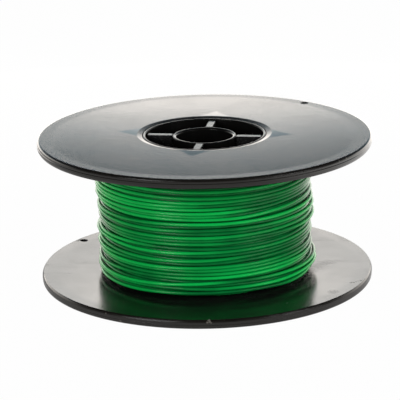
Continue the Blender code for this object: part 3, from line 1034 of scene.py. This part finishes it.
def make_winding(material):
    """One piece for each shown layer, over a core that stands for the buried ones."""
    random = np.random.default_rng(TONE_SEED)
    layers, swells = lay_to_outline()
    join_layers(layers)
    shown = layers[-len(SHOWN_LAYERS) :]
    for (name, layer_shade_level, nodes), (heights, radii) in zip(SHOWN_LAYERS, shown):
        proud = radii - typical_radius(layers[-1], heights)
        tones = wire_tones_and_shade(random, layer_shade_level, heights, proud)
        angles = angles_of(len(heights))
        x, y = radii * np.cos(angles), radii * np.sin(angles)
        points = np.stack([x, y, WINDING_LOW + heights], 1)
        mesh = tube_mesh(name, points, WIRE_RADIUS, WIRE_SIDES, material, tones)
        new_piece(name, mesh, "green_insulation", *nodes)
    make_winding_core(material, swells)


def make_winding_core(material, swells):
    """The wire under the layers that are laid, ribbed by its own turns."""
    heights = np.linspace(CORE_GAP, WINDING_WIDTH - CORE_GAP, CORE_POINTS)
    ribs = CORE_RIB * np.abs(np.sin(math.pi * heights / WIRE_DIAMETER))
    bed = bed_radius(np.tile(heights, (STEPS_A_TURN, 1)), swells).min(0)
    radii = bed - WIRE_RADIUS - CORE_DEPTH + ribs
    outside = [(radius, WINDING_LOW + height) for radius, height in zip(radii, heights)]
    inner = DRUM_RADIUS + CORE_GAP
    profile = outside + [(inner, outside[-1][1]), (inner, outside[0][1])]
    # It has no tone values, so the wire's material paints it its darkest green: painted shade of
    # the buried wire
    mesh = mesh_of("wire_core", *revolved(profile, HUB_SEGMENTS), [material])
    new_piece("wire_core", mesh, "green_insulation_buried", "wire_inner_layers")


def start_place(distance, rise=0.0):
    """A place on the wire's start, this far from the axis along the right web."""
    radial = Vector((math.cos(WEB_ANGLE), math.sin(WEB_ANGLE), 0.0))
    aside = Vector((-math.sin(WEB_ANGLE), math.cos(WEB_ANGLE), 0.0))
    height = WINDING_LOW + START_HOLE_HEIGHT + rise
    return distance * radial + START_HOLE_OFFSET * aside + Vector((0.0, 0.0, height))


def make_start_tail(material):
    """The wire's start: in through the drum's hole, then up beside the right web, with the cut
    end of the insulation drawn in a little."""
    hole_end = math.sqrt(DRUM_RADIUS**2 - (START_HOLE_OFFSET + WIRE_RADIUS) ** 2)
    points = [start_place(hole_end + (TAIL_BEND_START - hole_end) * i / 6) for i in range(7)]
    for angle in np.linspace(0, math.pi / 2, 17)[1:]:
        inward = TAIL_BEND_RADIUS * math.sin(angle)
        rise = TAIL_BEND_RADIUS * (1 - math.cos(angle))
        points.append(start_place(TAIL_BEND_START - inward, rise))
    upright = TAIL_BEND_START - TAIL_BEND_RADIUS
    rises = np.linspace(TAIL_BEND_RADIUS, TAIL_RISE, 24)[1:]
    points += [start_place(upright, rise) for rise in rises]
    count = len(points)
    radii = np.full(count, WIRE_RADIUS)
    radii[-1] = WIRE_RADIUS - CUT_END
    random = np.random.default_rng(TAIL_SEED)
    tones = np.clip(TAIL_TONE + 0.1 * smooth_noise(random, count, 12), 0, 1)
    across = (-math.sin(WEB_ANGLE), math.cos(WEB_ANGLE), 0.0)
    mesh = tube_mesh("start_tail_wire", points, radii, TAIL_SIDES, material, tones, across)
    new_piece("start_tail_wire", mesh, "green_insulation", "wire_start_tail")


def make_start_strands(material):
    """The start's bare tip: seven real strands, six of them twisted a little round the first."""
    low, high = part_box("start_conductor")
    centre = (low + high) / 2
    strand = STRAND_RADIUS
    points, faces = [], []
    for number in range(7):
        base = len(points)
        reach = 0.0 if number == 0 else 2 * strand
        for ring in range(STRAND_RINGS):
            twist = number * math.pi / 3 + STRAND_TWIST * ring / STRAND_RINGS
            x = centre.x + reach * math.cos(twist)
            y = centre.y + reach * math.sin(twist)
            height = low.z + (high.z - low.z) * ring / (STRAND_RINGS - 1)
            for side in range(STRAND_SIDES):
                turn = 2 * math.pi * side / STRAND_SIDES
                points.append((x + strand * math.cos(turn), y + strand * math.sin(turn), height))
        for face in tube_faces(STRAND_RINGS, STRAND_SIDES):
            faces.append([base + corner for corner in face])
    mesh = mesh_of("start_strands", points, faces, [material])
    new_piece("start_strands", mesh, "tinned_copper", "start_conductor")


# ---------------- stage, light, camera


def make_world():
    """White to the camera, and a faint even light to everything else. Its one colour goes
    through a ramp, because Cycles samples a sky as a light only if its colour can vary."""
    made = Shader("sky", "worlds")
    bpy.context.scene.world = made.owner
    to_camera = made.add("ShaderNodeLightPath").outputs["Is Camera Ray"]
    height = made.add("ShaderNodeSeparateXYZ", {"Vector": made.place()}).outputs["Z"]
    even = made.add("ShaderNodeValToRGB", {"Fac": height})
    for stop in even.color_ramp.elements:
        stop.color = opaque(SKY)
    sky = made.add("ShaderNodeBackground", {"Color": even.outputs["Color"]}).outputs[0]
    white = made.add("ShaderNodeBackground", {"Color": WHITE}).outputs[0]
    made.show(made.blend(to_camera, sky, white))


def make_tent():
    """A lit paper band round the reel, brightest low down and behind, unseen by the camera."""
    angles = np.linspace(0, 2 * math.pi, TENT_SIDES, False)
    ring = [(TENT_RADIUS * math.sin(a), TENT_RADIUS * math.cos(a)) for a in angles]
    points = [(x, y, z) for z in (TENT_FOOT, TENT_HEIGHT) for x, y in ring]
    mesh = bpy.data.meshes.new("light_tent")
    mesh.from_pydata(points, [], lattice(2, TENT_SIDES).tolist())
    tent = new_object("light_tent", mesh)
    made = Shader("tent_paper")
    parts = made.add("ShaderNodeSeparateXYZ", {"Vector": made.place()})
    aside = made.math("MULTIPLY", parts.outputs["X"], parts.outputs["X"])
    droop = made.math("MINIMUM", made.math("MULTIPLY", aside, TENT_DROOP), MOST_DROOP)
    height = made.math("DIVIDE", made.math("ADD", parts.outputs["Z"], droop), TENT_HEIGHT)
    fall = made.add("ShaderNodeValToRGB", {"Fac": height})
    stops = fall.color_ramp.elements
    stops[0].color = opaque(TENT_GLOW[0][1])
    stops[1].color = opaque(TENT_GLOW[-1][1])
    for at, colour in TENT_GLOW[1:-1]:
        stops.new(at / TENT_HEIGHT).color = opaque(colour)
    behind = made.math("DIVIDE", parts.outputs["Y"], TENT_RADIUS)
    strength = made.ramp(behind, -0.2, 0.95, TENT_FRONT, 1.0)
    made.show(made.glow(fall.outputs["Color"], strength))
    mesh.materials.append(made.owner)
    tent.visible_camera = False
    tent.visible_shadow = False


def make_floor():
    """A white floor that still takes the reel's shadow. In reflections it glows, more towards
    the right."""
    side = FLOOR_SIDE
    corners = [(-side, -side, 0), (side, -side, 0), (side, side, 0), (-side, side, 0)]
    mesh = bpy.data.meshes.new("floor")
    mesh.from_pydata(corners, [], [(0, 1, 2, 3)])
    floor = new_object("floor", mesh)
    floor.location.z = -FLOOR_DROP
    made = Shader("floor_white")
    made.finish(base_color=(0.4, 0.4, 0.4), roughness=0.6)
    path = made.add("ShaderNodeLightPath")
    share = made.math("MULTIPLY", path.outputs["Is Camera Ray"], FLOOR_WHITENESS)
    seen = made.blend(share, made.surface.outputs[0], made.glow(WHITE, 1.0))
    parts = made.add("ShaderNodeSeparateXYZ", {"Vector": made.place()})
    across = made.math("ADD", parts.outputs["X"], made.math("MULTIPLY", parts.outputs["Y"], 0.4))
    mirrored = made.glow((1.0, 0.98, 0.96), made.ramp(across, -0.02, 0.25, *FLOOR_GLOW))
    made.show(made.blend(path.outputs["Is Glossy Ray"], seen, mirrored))
    mesh.materials.append(made.owner)


def softbox(name, place, size, power):
    """A white lamp aimed at the reel."""
    data = bpy.data.lights.new(name, "AREA")
    data.shape = "RECTANGLE"
    data.size, data.size_y = size
    data.energy = power
    lamp = new_object(name, data)
    lamp.location = place
    direction = Vector(LAMP_AIM) - Vector(place)
    lamp.rotation_euler = direction.to_track_quat("-Z", "Y").to_euler()
    lamp.visible_camera = False


def make_camera():
    """The camera of the photograph, a little rolled."""
    target = Vector((0.0, 0.0, MIDDLE))
    back = Vector((0.0, -math.cos(CAMERA_ELEVATION), math.sin(CAMERA_ELEVATION)))
    right = Vector((1.0, 0.0, 0.0))
    up = back.cross(right)
    rolled_right = right * math.cos(CAMERA_ROLL) - up * math.sin(CAMERA_ROLL)
    rolled_up = right * math.sin(CAMERA_ROLL) + up * math.cos(CAMERA_ROLL)
    turn = Matrix((rolled_right, rolled_up, back)).transposed().to_4x4()
    data = bpy.data.cameras.new("photo_camera")
    data.sensor_width = SENSOR_WIDTH
    data.lens = FOCAL_PIXELS / IMAGE_SIDE * SENSOR_WIDTH
    data.shift_x = (IMAGE_SIDE / 2 - OPTICAL_CENTRE[0]) / IMAGE_SIDE
    data.shift_y = (OPTICAL_CENTRE[1] - IMAGE_SIDE / 2) / IMAGE_SIDE
    data.clip_start = 0.01
    camera = new_object("photo_camera", data)
    camera.matrix_world = Matrix.Translation(target + CAMERA_DISTANCE * back) @ turn
    bpy.context.scene.camera = camera


def write_sizes():
    """Only defines a helper that turns bounds into plain numbers; nothing is written."""

    def plain(bounds):
        return [[float(value) for value in corner] for corner in bounds]


def main():
    bpy.context.scene.view_settings.view_transform = "Standard"
    flange_materials = [flange_outer_finish(), flange_inner_finish(), rim_finish()]
    make_flange("upper_flange_body", "upper_flange", UPPER_ANCHOR_ANGLE, False, flange_materials)
    make_flange("lower_flange_body", "lower_flange", LOWER_ANCHOR_ANGLE, True, flange_materials)
    hub_material = hub_finish()
    make_drum(hub_material)
    make_tube(hub_material)
    finish_webs(web_finish())
    wire_material = wire_finish()
    make_winding(wire_material)
    make_start_tail(wire_material)
    make_start_strands(copper_finish())
    make_world()
    make_tent()
    make_floor()
    softbox("left_box", place=(-0.75, -0.95, 0.42), size=(0.5, 0.45), power=14.0)
    softbox("right_box", place=(1.0, -0.60, 0.40), size=(0.6, 0.45), power=15.0)
    make_camera()
    write_sizes()


main()
